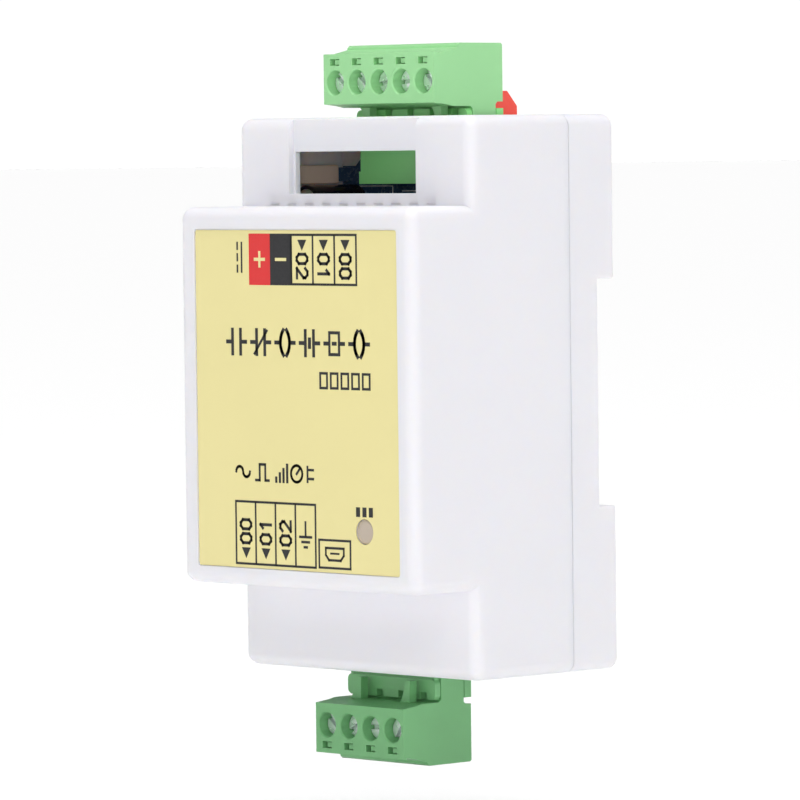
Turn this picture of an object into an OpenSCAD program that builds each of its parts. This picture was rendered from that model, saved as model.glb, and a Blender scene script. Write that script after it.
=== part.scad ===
// DIN rail programmable controller: a snap-together plastic case with a stepped front,
// a red rail latch, one circuit board, and two pluggable screw terminal blocks.
// Origin: centre of the rail seat. +X is right, -Y is the front, +Z is up. Millimetres.

/* [Case] */
// Width of the case along the rail
case_w = 54; // [50:0.5:58]
// Height of the case
case_h = 88; // [86:0.5:92]
// Depth from the nose to the back of the lugs
case_d = 44.5; // [43:0.5:50]
// Height of the raised nose
nose_h = 59.9; // [56:0.1:62]
// How far the nose stands in front of the shoulders
nose_step = 12.95; // [11:0.05:15]
// Wall thickness
wall = 2; // [1.6:0.1:2.4]
// Radius of the outer edges
edge_r = 2; // [1:0.25:2.5]
// Distance of the seam between cover and base from the nose
seam_depth = 34.45; // [33.5:0.05:35.5]
// Width of the gap that the cover and base show as a line
seam_gap = 0.15; // [0.1:0.05:0.3]

/* [Rail mounting] */
// Height of the slot that takes the rail
rail_slot_h = 36; // [35.6:0.1:37]
// Depth of the slot that takes the rail
rail_slot_d = 4; // [3.5:0.1:5]
// Width of the sliding latch
latch_w = 10.9; // [8:0.1:14]
// How far the latch handle stands above the case
latch_handle_h = 4; // [3:0.1:5]
// How far the latch slides up to free the rail
latch_travel = 3.2; // [2:0.1:3.4]

/* [Window and vents] */
// Half width of the recess in the upper shoulder
recess_half_w = 14.6; // [12:0.1:15]
// How much narrower the window is than the recess, on each side
window_inset = 0.45; // [0.2:0.05:1]
// Height of the window
window_h = 6.7; // [5:0.1:7]
// Height of the window's sill above the case centre
window_sill = 31.9; // [31.5:0.1:32.5]
// Depth of the recess around the window
recess_d = 1; // [0.6:0.1:1.2]
// Number of vent slots in the upper ledge
vent_count = 10; // [6:1:11]
// Distance between vent slots
vent_pitch = 4; // [3.5:0.1:4.2]

/* [Label and light] */
// Width of the front label
label_w = 46.7; // [44:0.1:48]
// Height of the front label
label_h = 53.6; // [50:0.1:54]
// Thickness of the front label
label_t = 0.25; // [0.2:0.05:0.3]
// Depth of the label's pocket
label_pocket = 0.5; // [0.4:0.05:0.6]
// Place of the indicator light, sideways
light_x = 15.4; // [12:0.1:18]
// Place of the indicator light, in height
light_z = -20.4; // [-22:0.1:-16]
// Diameter of the indicator light's hole
light_d = 4; // [3:0.1:4.4]

/* [Terminal blocks] */
// Distance between poles
pitch = 5.08; // [5.08, 5.00]
// Poles of the upper block
top_poles = 5; // [3:1:6]
// Poles of the lower block
bottom_poles = 4; // [3:1:5]
// Centre of the upper block
top_x = 0.15; // [-1:0.05:1]
// Centre of the lower block
bottom_x = -6.1; // [-6.5:0.05:-5]
// How far the upper plug's shoulder stands off the case
top_standoff = 2.1; // [1.8:0.05:3]
// How far the lower plug's shoulder stands off the case
bottom_standoff = 6.05; // [5:0.05:6.5]
// Distance of the plugs' screw faces from the nose
plug_setback = 18.85; // [18.4:0.05:19.2]
// Depth of a plug, from screw face to back
plug_d = 15.1; // [14.6:0.1:15.1]
// Height of a plug's screw face
plug_h = 8; // [7.6:0.1:8.4]
// Diameter of a screw access hole
screw_hole_d = 3.9; // [3.8:0.05:4.1]
// How far the clamps travel when a screw is tightened
clamp_travel = 2; // [1:0.1:2.2]

/* [Hidden] */

eps = 0.01;
fine = 48;
past = 1;

// Planes of the case, in depth and height
y_nose = rail_slot_d - case_d;
y_back = rail_slot_d;
y_shoulder = y_nose + nose_step;
y_seam = y_nose + seam_depth;
z_top = case_h / 2;
in_w = case_w - 2 * wall;
in_h = case_h - 2 * wall;
slot_z = rail_slot_h / 2;

// Vent slots in the ledge, with a shallow nick up the shoulder
vent_w = 2;
vent_len = 4.5;
vent_nick_h = 0.4;
vent_nick_d = 0.08;

// Centre of the label
label_x = 0.2;
label_z = -0.35;

// How far the light's end lies behind the nose
light_face = 0.4;

// Snap tongues that hold the base in the cover
tongue_z = 12;
tongue_w = 8;
catch_y = 5;

// Rail latch: depth of its blade, and the flanges that keep it in its channel
latch_y0 = 0.75;
latch_gap = 0.15;
latch_mouth_z = slot_z + 1.2;
flange_w = 1.5;
flange_t = 1.2;
flange_z0 = slot_z + 2.2;
flange_z1 = z_top - 1.8 - latch_travel;

// Terminal blocks: depths are measured from the screw face, heights from the shoulder
plug_y = y_nose + plug_setback;
top_z = z_top + top_standoff;
bottom_z = z_top + bottom_standoff;
screw_h = 3.45;
head_depth = 1.85;
head_t = 1.3;
head_d = 3.5;
shank_d = 2.5;
shank_gap = 0.3;
shank_end = 7.9;
cage_w = 3.9;
cage_gap = 0.15;
cage_y0 = head_depth + head_t + 0.1;
cage_y = cage_y0 + 0.35 + clamp_travel;
cage_end = 12.1;
nut_t = 1.2;
cage_wall = 0.8;
cage_h0 = 0.95;
cage_h1 = 5.95;
entry_y0 = 8.75;
entry_y1 = 11.2;
entry_w = 3.4;
nose_y0 = 8.5;
nose_y1 = 13.5;
nose_len = 8;
under_h = -0.58;
bar_y = 8.1;
leaf_gap = 0.65;
leaf_t = 0.45;
pin_y = 11;
pin_w = 1;
pin_tail = 3.2;
pin_depth = 2.6;
post_inset = 4.5;
post_y0 = 4.9;
post_y1 = 6.45;
post_len = 4;
header_lip_y = 7.15;
header_y0 = 7.5;
header_y1 = 8.35;
header_back_y0 = 13.7;
header_back_y1 = 15.2;
header_rim = -0.95;
header_len = 11.85;
header_floor = 2;
opening_gap = 0.6;

// The circuit board lies across the seam, and the headers stand on its front face
board_t = 1.6;
board_y = plug_y + header_back_y1;
board_back = board_y + board_t;
board_w = in_w - 0.8;
board_h = in_h - 0.8;
board_screw_x = 21;
board_screw_z = 23;
corner_x = 21.5;
corner_z = 36.2;
top_pin_z = top_z + header_rim - header_len + header_floor / 2;
bottom_pin_z = -(bottom_z + header_rim - header_len + header_floor / 2);
usb_x = 10.6;
usb_z = -board_h / 2 - 0.3;
usb_half_w = 5.2;

plug_green = [0.5, 0.8, 0.52];
header_green = [0.45, 0.76, 0.46];
pin_metal = [0.85, 0.84, 0.8];

// Rounded block from y0 to y1: slabs, rods along the edges and balls in the corners
module soft_block(w, h, y0, y1, r) {
    box([-w / 2, y0 + r, -h / 2 + r], [w / 2, y1 - r, h / 2 - r]);
    box([-w / 2 + r, y0, -h / 2 + r], [w / 2 - r, y1, h / 2 - r]);
    box([-w / 2 + r, y0 + r, -h / 2], [w / 2 - r, y1 - r, h / 2]);
    for (x = [-1, 1], z = [-1, 1])
        translate([x * (w / 2 - r), 0, z * (h / 2 - r)]) rod_y(2 * r, y0 + r, y1 - r, 32);
    for (y = [y0 + r, y1 - r], z = [-1, 1])
        translate([-w / 2 + r, y, z * (h / 2 - r)])
            rotate([0, 90, 0]) cylinder(h = w - 2 * r, r = r, $fn = 32);
    for (y = [y0 + r, y1 - r], x = [-1, 1])
        translate([x * (w / 2 - r), y, -h / 2 + r]) cylinder(h = h - 2 * r, r = r, $fn = 32);
    for (x = [-1, 1], y = [y0 + r, y1 - r], z = [-1, 1])
        translate([x * (w / 2 - r), y, z * (h / 2 - r)]) sphere(r, $fn = 32);
}

// Box given by its two corners
module box(a, b) {
    translate(a) cube(b - a);
}

// Cylinder along +Y from y0 to y1
module rod_y(d, y0, y1, fn = fine) {
    translate([0, y0, 0]) rotate([-90, 0, 0]) cylinder(h = y1 - y0, d = d, $fn = fn);
}

// Repeats its children at the four screws of the board
module at_board_screws() {
    for (x = [-1, 1], z = [-1, 1])
        translate([x * board_screw_x, 0, z * board_screw_z]) children();
}

// ---------------------------------------------------------------- case

// Opening in the upper wall, or mirrored in the lower wall, for a header and its plug's posts
module header_opening(x, poles) {
    half = poles * pitch / 2 + opening_gap;
    box([x - half, plug_y + post_y0 - opening_gap, in_h / 2 - past],
        [x + half, y_seam + eps, z_top + past]);
}

module vents() {
    for (i = [0 : vent_count - 1])
        translate([(i - (vent_count - 1) / 2) * vent_pitch, 0, 0]) {
            box([-vent_w / 2, y_shoulder - vent_len, nose_h / 2 - wall - past],
                [vent_w / 2, y_shoulder, nose_h / 2 + eps]);
            box([-vent_w / 2, y_shoulder - eps, nose_h / 2 - eps],
                [vent_w / 2, y_shoulder + vent_nick_d, nose_h / 2 + vent_nick_h]);
        }
}

module front_cover() {
    color([0.93, 0.925, 0.945]) {
        difference() {
            union() {
                soft_block(case_w, nose_h, y_nose, y_back, edge_r);
                soft_block(case_w, case_h, y_shoulder, y_back, edge_r);
            }
            // everything behind the seam belongs to the base
            box([-case_w, y_seam - seam_gap, -case_h], [case_w, y_back + 1, case_h]);
            // inside of the nose and of the shoulders
            box([-in_w / 2, y_nose + wall, -nose_h / 2 + wall], [in_w / 2, y_back, nose_h / 2 - wall]);
            box([-in_w / 2, y_shoulder + wall, -in_h / 2], [in_w / 2, y_back, in_h / 2]);
            // label pocket and the hole for the light
            translate([label_x, 0, label_z])
                box([-label_w / 2, y_nose - past, -label_h / 2],
                    [label_w / 2, y_nose + label_pocket, label_h / 2]);
            translate([light_x, 0, light_z]) rod_y(light_d, y_nose - past, y_nose + wall + past);
            // recess and window in the upper shoulder
            box([-recess_half_w, y_shoulder - past, window_sill],
                [recess_half_w, y_shoulder + recess_d, z_top + past]);
            box([-recess_half_w + window_inset, y_shoulder - past, window_sill],
                [recess_half_w - window_inset, y_shoulder + wall + past, window_sill + window_h]);
            vents();
            // headers and USB socket
            header_opening(top_x, top_poles);
            mirror([0, 0, 1]) header_opening(bottom_x, bottom_poles);
            box([usb_x - usb_half_w, board_y - 5, -z_top - past],
                [usb_x + usb_half_w, y_seam + eps, -in_h / 2 + past]);
            // four catch windows for the base's tongues
            for (x = [-1, 1], z = [-1, 1])
                translate([x * in_w / 2, y_seam - catch_y, z * tongue_z])
                    cube([1.6, 2.2, tongue_w + 1], center = true);
        }
        // collar that steadies the light pipe
        translate([light_x, 0, light_z])
            difference() {
                rod_y(light_d + 2.4, y_nose + wall - eps, y_nose + wall + 3);
                rod_y(light_d, y_nose + wall - 1, y_nose + wall + 4);
            }
    }
}

// Outline of a tongue in plan: across the wall and forwards
module tongue_blade() {
    linear_extrude(tongue_w, center = true)
        polygon([[-1.4, 3.5], [0.5, 3.5], [0.5, 0.4], [-0.15, 0], [-0.15, -3.9],
                 [0.55, -4.3], [-0.15, -5.8], [-1.4, -5.8]]);
}

module rear_base() {
    color([0.92, 0.915, 0.935]) {
        difference() {
            union() {
                difference() {
                    soft_block(case_w, case_h, y_shoulder, y_back, edge_r / 2);
                    box([-case_w, y_shoulder - 1, -case_h], [case_w, y_seam, case_h]);
                    // hollow behind the board, and in each lug
                    box([-in_w / 2, y_seam - 1, -in_h / 2], [in_w / 2, -wall, in_h / 2]);
                    for (s = [-1, 1])
                        translate([0, 0, s * (slot_z + z_top) / 2])
                            cube([in_w, 2 * (y_back - wall), z_top - slot_z - 2 * wall], center = true);
                    // slot for the rail
                    box([-case_w, 0, -slot_z], [case_w, y_back + 1, slot_z]);
                }
                // housing of the latch, and pillars under the board
                box([-latch_w / 2 - 2 * flange_w, -wall, slot_z],
                    [latch_w / 2 + 2 * flange_w, y_back, in_h / 2 + eps]);
                at_board_screws() rod_y(6, board_back, y_back - wall + eps);
                // hooks that hold the lower edge of the rail
                for (x = [-14, 14])
                    translate([x, 0, 0])
                        box([-4, 1.4, -slot_z - eps], [4, y_back - 0.6, -slot_z + 1.9]);
                // blades of the snap tongues
                for (z = [-1, 1])
                    translate([0, 0, z * tongue_z]) {
                        translate([in_w / 2, y_seam, 0]) tongue_blade();
                        mirror([1, 0, 0]) translate([in_w / 2, y_seam, 0]) tongue_blade();
                    }
            }
            // channel of the latch, and the grooves that its flanges run in
            box([-latch_w / 2 - latch_gap, latch_y0 - latch_gap, slot_z - past],
                [latch_w / 2 + latch_gap, y_back + past, z_top + past]);
            box([-latch_w / 2 - flange_w - latch_gap, latch_y0 - latch_gap, flange_z0 - latch_gap],
                [latch_w / 2 + flange_w + latch_gap, latch_y0 + flange_t + latch_gap,
                 flange_z1 + latch_travel + latch_gap]);
            // pilot holes of the board screws
            at_board_screws() rod_y(1.9, board_back - 1, -wall + 0.8, 32);
        }
    }
}

// ---------------------------------------------------------------- rail latch

module din_latch() {
    color([1.0, 0.27, 0.25])
        difference() {
            union() {
                // blade and flanges
                box([-latch_w / 2, latch_y0, latch_mouth_z], [latch_w / 2, y_back - 0.1, z_top + 0.2]);
                box([-latch_w / 2 - flange_w, latch_y0, flange_z0],
                    [latch_w / 2 + flange_w, latch_y0 + flange_t, flange_z1]);
                // sloped nose that catches the rail's upper edge
                translate([-latch_w / 2, 0, 0])
                    rotate([90, 0, 90])
                        linear_extrude(latch_w)
                            polygon([[1.5, slot_z - 1.9], [y_back - 0.1, slot_z - 0.4],
                                     [y_back - 0.1, latch_mouth_z + 0.1], [1.5, latch_mouth_z + 0.1]]);
                // handle above the case, with a sloped back edge
                translate([-latch_w / 2, 0, 0])
                    rotate([90, 0, 90])
                        linear_extrude(latch_w)
                            polygon([[-1, z_top + 0.2], [y_back, z_top + 0.2],
                                     [y_back, z_top + latch_handle_h - 2.45],
                                     [y_back - 2.2, z_top + latch_handle_h],
                                     [-1, z_top + latch_handle_h]]);
            }
            // finger hollow in the front of the handle
            translate([0, -3.4, z_top + 2.6]) rotate([0, 90, 0])
                cylinder(h = latch_w - 2.4, d = 6, center = true, $fn = fine);
            // lightening slot down the blade
            box([-2.2, y_back - 1.5, slot_z + 4], [2.2, y_back + 1, z_top - 8]);
        }
}

// ---------------------------------------------------------------- label and light

module label_overlay() {
    color([0.93, 0.89, 0.62])
        difference() {
            translate([label_x, 0, label_z])
                box([-label_w / 2 + 0.1, y_nose + label_pocket - label_t, -label_h / 2 + 0.1],
                    [label_w / 2 - 0.1, y_nose + label_pocket, label_h / 2 - 0.1]);
            translate([light_x, 0, light_z]) rod_y(light_d, y_nose - 1, y_nose + 2);
        }
}

module light_pipe() {
    color([0.85, 0.87, 0.88, 0.7])
        translate([light_x, 0, light_z]) {
            rod_y(light_d - 0.1, y_nose + light_face, y_nose + wall + 5);
            rod_y(light_d - 0.8, y_nose + wall + 5 - eps, board_y - 2.6);
            translate([0, y_nose + wall + 3, 0]) rod_y(light_d + 1.6, 0, 1);
        }
}

module error_led() {
    color([0.95, 0.93, 0.8])
        translate([light_x, 0, light_z]) {
            box([-1.75, board_y - 1.4, -1.4], [1.75, board_y, 1.4]);
            rod_y(2.4, board_y - 1.9, board_y - 1.3);
        }
}

// ---------------------------------------------------------------- board and its parts

module main_board() {
    color([0.06, 0.1, 0.22])
        difference() {
            box([-board_w / 2, board_y, -board_h / 2], [board_w / 2, board_back, board_h / 2]);
            at_board_screws() rod_y(3, board_y - 1, board_back + 1, 32);
            header_holes(top_x, top_poles, top_pin_z);
            header_holes(bottom_x, bottom_poles, bottom_pin_z);
            // upper corners, cut back beside the header
            for (s = [0, 1])
                mirror([s, 0, 0])
                    translate([0, board_back + past, 0])
                        rotate([90, 0, 0])
                            linear_extrude(board_t + 2 * past)
                                polygon([[corner_x, corner_z], [corner_x - 6, corner_z + 6],
                                         [corner_x - 6, z_top], [case_w / 2, z_top],
                                         [case_w / 2, corner_z]]);
            // clearance for the tongues
            for (x = [-1, 1], z = [-1, 1])
                translate([x * board_w / 2, board_y + board_t / 2, z * tongue_z])
                    cube([2 * 1.4, board_t + 1, tongue_w + 0.8], center = true);
        }
}

module board_screws() {
    color([0.75, 0.76, 0.78])
        at_board_screws()
            difference() {
                union() {
                    rod_y(4.6, board_y - 1.7, board_y, 40);
                    rod_y(1.84, board_y - eps, -wall + 0.6, 32);
                }
                rotate([0, 45, 0])
                    for (a = [0, 90])
                        rotate([0, a, 0])
                            translate([0, board_y - 1.7, 0]) cube([2.6, 1.6, 0.6], center = true);
            }
}

// Chip with gull-wing legs on two sides: body w by h, standing t off the board
module chip(w, h, t, legs, pitch_z, leg_w) {
    box([-w / 2, board_y - t, -h / 2], [w / 2, board_y - 0.15, h / 2]);
    for (s = [-1, 1], i = [0 : legs - 1])
        translate([s * (w / 2 + 0.4), board_y - 0.3, (i - (legs - 1) / 2) * pitch_z])
            cube([1, 0.6, leg_w], center = true);
}

module microcontroller() {
    color([0.13, 0.13, 0.14])
        translate([-1, 0, -4]) {
            chip(10, 10, 1.6, 16, 0.55, 0.26);
            rotate([0, 90, 0]) chip(10, 10, 1.6, 16, 0.55, 0.26);
        }
}

module optocouplers() {
    color([0.16, 0.16, 0.17])
        for (i = [0 : 2])
            translate([-3 + i * 7, 0, 22]) chip(4.4, 4.6, 2.3, 2, 2.54, 0.5);
}

module output_transistors() {
    color([0.12, 0.12, 0.13])
        for (i = [0 : 2])
            translate([-12 + i * 7.6, 0, -28]) chip(3.6, 6.5, 1.8, 3, 2.3, 0.7);
}

module voltage_regulator() {
    color([0.14, 0.14, 0.15])
        translate([-16, 0, 14]) {
            chip(6.2, 6.6, 2.3, 2, 4.6, 0.9);
            box([-2.7, board_y - 0.6, 3.2], [2.7, board_y - 0.05, 4.6]);
        }
}

module crystal() {
    color([0.8, 0.8, 0.8])
        translate([12, board_y, -2])
            rotate([90, 0, 0])
                linear_extrude(3.5)
                    hull()
                        for (s = [-1, 1]) translate([s * 3.4, 0]) circle(d = 4.5, $fn = 32);
}

// Stands on the board below the film capacitor, both beside the upper header
module electrolytic_capacitor() {
    color([0.1, 0.1, 0.12])
        translate([-21.7, board_y, 30.05])
            rotate([90, 0, 0])
                rotate_extrude($fn = fine)
                    polygon([[0, 0], [2.9, 0], [3.15, 0.25], [3.15, 1.2], [2.95, 1.5], [2.95, 1.8],
                             [3.15, 2.1], [3.15, 10.7], [2.8, 11.1], [2.5, 11.1], [2.5, 10.9], [0, 10.9]]);
}

module film_capacitor() {
    color([0.72, 0.62, 0.56]) {
        box([-24.4, board_y - 12.5, 33.35], [-22, board_y - 3.2, 36.4]);
        // insulating foot under the body
        box([-24.2, board_y - 3.2 - eps, 33.7], [-22.4, board_y, 36]);
    }
}

module inductor() {
    color([0.2, 0.2, 0.21])
        translate([-15, 0, -12]) {
            box([-3.5, board_y - 1, -3.5], [3.5, board_y, 3.5]);
            rod_y(6.4, board_y - 3.4, board_y - 0.9, 40);
        }
}

module chip_passives() {
    color([0.6, 0.52, 0.42])
        for (i = [0 : 5], j = [0 : 2])
            translate([-11 + i * 4.6, board_y - 0.3, 10 + j * 2.6])
                cube([2, 0.6, 1.2], center = true);
}

// ---------------------------------------------------------------- USB socket

module usb_shell() {
    color([0.78, 0.79, 0.8])
        translate([usb_x, 0, usb_z])
            difference() {
                box([-3.75, board_y - 2.5, 0], [3.75, board_y, 5.3]);
                box([-3.45, board_y - 2.2, -1], [3.45, board_y - 0.3, 4.6]);
            }
}

module usb_tongue() {
    color([0.12, 0.12, 0.13])
        translate([usb_x, 0, usb_z]) {
            box([-2.6, board_y - 1.9, 0.8], [2.6, board_y - 1.3, 3.4]);
            box([-3.4, board_y - 2.15, 3.3], [3.4, board_y - 0.35, 4.6]);
        }
}

// ---------------------------------------------------------------- headers

// Places its children in the frame of the upper or lower block:
// x from the block's left end, y from the screw face, z outwards from the shoulder
module at_top() {
    translate([top_x - top_poles * pitch / 2, plug_y, top_z]) children();
}

module at_bottom() {
    translate([bottom_x - bottom_poles * pitch / 2, plug_y, -bottom_z])
        mirror([0, 0, 1]) children();
}

module header_holes(x, poles, z) {
    for (i = [0 : poles - 1])
        translate([x + (i - (poles - 1) / 2) * pitch, 0, z]) rod_y(1.5, board_y - 1, board_back + 1, 24);
}

// One notch in the header's rim: straight on one side and sloped on the other
module rim_notch() {
    translate([0, header_y1 + 1, 0])
        rotate([90, 0, 0])
            linear_extrude(4)
                polygon([[-0.9, -1.15], [0.55, -1.15], [1.1, 1], [-0.9, 1]]);
}

// One pin: up from the middle of the header's floor to z1, and back through the board
module header_pin(z0, z1) {
    box([-pin_w / 2, pin_y - pin_w / 2, z0 - pin_w / 2], [pin_w / 2, pin_y + pin_w / 2, z1]);
    box([-pin_w / 2, pin_y - pin_w / 2, z0 - pin_w / 2],
        [pin_w / 2, header_back_y1 + pin_tail, z0 + pin_w / 2]);
}

module header_shell(poles) {
    w = poles * pitch;
    z0 = header_rim - header_len;
    board_face = board_y - plug_y;
    difference() {
        union() {
            box([0, header_y0, z0], [w, board_face, z0 + header_floor]);
            box([0.4, header_y0, z0], [w - 0.4, header_y1, header_rim]);
            box([0, header_back_y0, z0], [w, board_face, header_rim]);
            // thicker band along the front wall's rim, with rounded ends
            translate([0, header_y1, 0])
                rotate([90, 0, 0])
                    linear_extrude(header_y1 - header_lip_y)
                        hull()
                            for (x = [0.9, w - 0.9], z = [-0.9, -2.4])
                                translate([x, header_rim + z]) circle(d = 1.8, $fn = 32);
        }
        for (i = [0 : poles - 1])
            translate([(i + 0.5) * pitch, 0, 0]) {
                translate([0, 0, header_rim]) rim_notch();
                header_pin(z0 + header_floor / 2, z0 + header_floor + past);
            }
    }
}

module header_pins(poles) {
    for (i = [0 : poles - 1])
        translate([(i + 0.5) * pitch, 0, 0])
            header_pin(header_rim - header_len + header_floor / 2, -pin_depth);
}

// ---------------------------------------------------------------- plugs

// Side profile of a plug: depth from the screw face, and height from the shoulder.
// The wall behind the face dips, rises in a slope and steps up to the back.
module plug_profile() {
    polygon([[0, 0], [2.7, -0.28], [4.2, under_h], [nose_y0 - 0.5, under_h], [nose_y0, under_h - 0.45],
             [nose_y0, -nose_len], [nose_y1, -nose_len], [nose_y1, -0.3], [nose_y1 + 0.4, 0.1],
             [plug_d, 0.1], [plug_d, plug_h + 1.1], [plug_d - 0.3, plug_h + 1.4],
             [5.75, plug_h + 1.4], [5.3, plug_h + 1.05], [5.2, plug_h + 0.7],
             [0.85, plug_h - 0.25], [0.5, plug_h], [0, plug_h]]);
}

// Post that hooks over the header, with a flare at its root
module latch_post() {
    translate([0, post_y1, 0])
        rotate([90, 0, 0])
            linear_extrude(post_y1 - post_y0)
                polygon([[-1.9, 0], [-1.3, under_h], [-0.9, under_h - 0.42], [0.1, -post_len],
                         [1, -post_len], [0.9, 0]]);
}

module pole_cuts() {
    // screw access, clamp chamber and wire entry of one pole
    translate([0, 0, screw_h]) rod_y(screw_hole_d, -past, head_depth + head_t + 0.2);
    translate([0, -eps, screw_h])
        rotate([-90, 0, 0])
            cylinder(h = 0.2, d1 = screw_hole_d + 0.4, d2 = screw_hole_d, $fn = fine);
    box([-cage_w / 2 - cage_gap, cage_y0, cage_h0 - cage_gap],
        [cage_w / 2 + cage_gap, cage_end + cage_gap, cage_h1 + cage_gap]);
    box([-entry_w / 2, entry_y0, cage_h1], [entry_w / 2, entry_y1, plug_h + 3]);
    // room for the contact's bar and bridge, and its slot in the nose
    box([-1.3, bar_y - 0.15, -0.1], [1.3, nose_y1 - 1.2, cage_h0]);
    box([-1.3, nose_y0 + 1, -nose_len - past], [1.3, nose_y1 - 1.2, 0]);
    // small stepped window beside the screw
    translate([0, 0, screw_h + 3.25]) {
        box([-1.05, -past, -0.55], [-0.3, 1.7, 0.55]);
        box([-0.4, -past, -0.55], [1.1, 0.4, 0.55]);
        box([-0.4, 0.3, 0.38], [1.1, 1.2, 0.55]);
        box([-0.4, 0.3, -0.55], [1.1, 1.2, -0.38]);
    }
}

module plug_body(poles) {
    w = poles * pitch;
    difference() {
        union() {
            rotate([90, 0, 90]) linear_extrude(w) plug_profile();
            for (x = [post_inset, w - post_inset]) translate([x, 0, 0]) latch_post();
        }
        for (i = [0 : poles - 1]) translate([(i + 0.5) * pitch, 0, 0]) pole_cuts();
    }
}

module contacts(poles) {
    for (i = [0 : poles - 1])
        translate([(i + 0.5) * pitch, 0, 0]) {
            // clamping bar, bridge and the two leaves that grip the pin
            box([-1.1, bar_y, 0], [1.1, bar_y + 0.65, cage_h1 - 0.6]);
            box([-1.1, bar_y, 0], [1.1, pin_y + leaf_gap + leaf_t, 0.55]);
            box([-1.1, pin_y - leaf_gap - leaf_t, -nose_len + 0.6], [1.1, pin_y - leaf_gap, 0.1]);
            box([-1.1, pin_y + leaf_gap, -nose_len + 0.6], [1.1, pin_y + leaf_gap + leaf_t, 0.1]);
        }
}

module terminal_screw(i, slot_angle) {
    color([0.78, 0.8, 0.82])
        translate([(i - 0.5) * pitch, 0, screw_h])
            difference() {
                union() {
                    rod_y(head_d, head_depth, head_depth + head_t);
                    rod_y(shank_d, head_depth + head_t - eps, shank_end);
                }
                rotate([0, slot_angle, 0])
                    translate([0, head_depth, 0]) cube([head_d + 1, 1.5, 0.7], center = true);
            }
}

module clamp(i) {
    color([0.74, 0.75, 0.74])
        translate([(i - 0.5) * pitch, 0, 0])
            difference() {
                box([-cage_w / 2, cage_y, cage_h0], [cage_w / 2, cage_end, cage_h1]);
                box([-cage_w / 2 + cage_wall, cage_y + nut_t, cage_h0 - 1],
                    [cage_w / 2 - cage_wall, cage_end - cage_wall, cage_h1 + 1]);
                // bore for the screw, which also relieves the side walls over the whole travel
                translate([0, 0, screw_h])
                    rod_y(shank_d + shank_gap, cage_y - past, shank_end + clamp_travel + 0.2);
            }
}

module top_header_shell() { color(header_green) at_top() header_shell(top_poles); }
module top_header_pins() { color(pin_metal) at_top() header_pins(top_poles); }
module bottom_header_shell() { color(header_green) at_bottom() header_shell(bottom_poles); }
module bottom_header_pins() { color(pin_metal) at_bottom() header_pins(bottom_poles); }
module top_plug_body() { color(plug_green) at_top() plug_body(top_poles); }
module top_plug_contacts() { color(pin_metal) at_top() contacts(top_poles); }
module bottom_plug_body() { color(plug_green) at_bottom() plug_body(bottom_poles); }
module bottom_plug_contacts() { color(pin_metal) at_bottom() contacts(bottom_poles); }

front_cover();
rear_base();
din_latch();
label_overlay();
light_pipe();
main_board();
board_screws();
microcontroller();
optocouplers();
output_transistors();
voltage_regulator();
crystal();
electrolytic_capacitor();
film_capacitor();
inductor();
chip_passives();
error_led();
usb_shell();
usb_tongue();
top_header_shell();
top_header_pins();
bottom_header_shell();
bottom_header_pins();
top_plug_body();
top_plug_contacts();
bottom_plug_body();
bottom_plug_contacts();
at_top() terminal_screw(1, 42);  // top_screw_1
at_top() terminal_screw(2, 40);  // top_screw_2
at_top() terminal_screw(3, -15);  // top_screw_3
at_top() terminal_screw(4, -5);  // top_screw_4
at_top() terminal_screw(5, 50);  // top_screw_5
at_bottom() terminal_screw(1, -40);  // bottom_screw_1
at_bottom() terminal_screw(2, 35);  // bottom_screw_2
at_bottom() terminal_screw(3, 0);  // bottom_screw_3
at_bottom() terminal_screw(4, 60);  // bottom_screw_4
at_top() clamp(1);  // top_clamp_1
at_top() clamp(2);  // top_clamp_2
at_top() clamp(3);  // top_clamp_3
at_top() clamp(4);  // top_clamp_4
at_top() clamp(5);  // top_clamp_5
at_bottom() clamp(1);  // bottom_clamp_1
at_bottom() clamp(2);  // bottom_clamp_2
at_bottom() clamp(3);  // bottom_clamp_3
at_bottom() clamp(4);  // bottom_clamp_4
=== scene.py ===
import math

import bmesh
import bpy
from mathutils import Matrix, Vector


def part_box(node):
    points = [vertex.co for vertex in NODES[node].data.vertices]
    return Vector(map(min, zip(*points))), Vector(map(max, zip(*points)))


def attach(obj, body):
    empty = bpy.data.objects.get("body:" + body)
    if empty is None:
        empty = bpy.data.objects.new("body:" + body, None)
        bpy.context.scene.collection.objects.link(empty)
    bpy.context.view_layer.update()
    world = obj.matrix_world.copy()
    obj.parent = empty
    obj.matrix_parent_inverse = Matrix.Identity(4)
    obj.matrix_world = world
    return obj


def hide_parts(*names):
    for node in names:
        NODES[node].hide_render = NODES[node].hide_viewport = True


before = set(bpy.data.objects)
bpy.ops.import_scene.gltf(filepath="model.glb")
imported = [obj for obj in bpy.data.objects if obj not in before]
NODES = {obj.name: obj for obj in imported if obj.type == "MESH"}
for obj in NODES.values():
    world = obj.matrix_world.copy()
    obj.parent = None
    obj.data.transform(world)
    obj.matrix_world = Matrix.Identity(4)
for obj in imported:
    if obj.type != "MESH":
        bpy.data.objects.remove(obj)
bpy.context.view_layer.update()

# The looks of a DIN rail controller module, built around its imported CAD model.
# Pieces are modelled in millimetres and scaled to metres when they are finished.

MM = 0.001


# ------------------------------------------------------------------ camera

VIEW_AZIMUTH = math.radians(46.38)
VIEW_ELEVATION = math.radians(2.376)
VIEW_ROLL = math.radians(-0.682)
VIEW_DISTANCE = 950.75
VIEW_FOCAL = 5981.3 / 800 * 36
VIEW_TARGET = Vector((0.0, -20.5, 1.0))
VIEW_OFFSET = Vector((2.124, -1.987))


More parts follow.
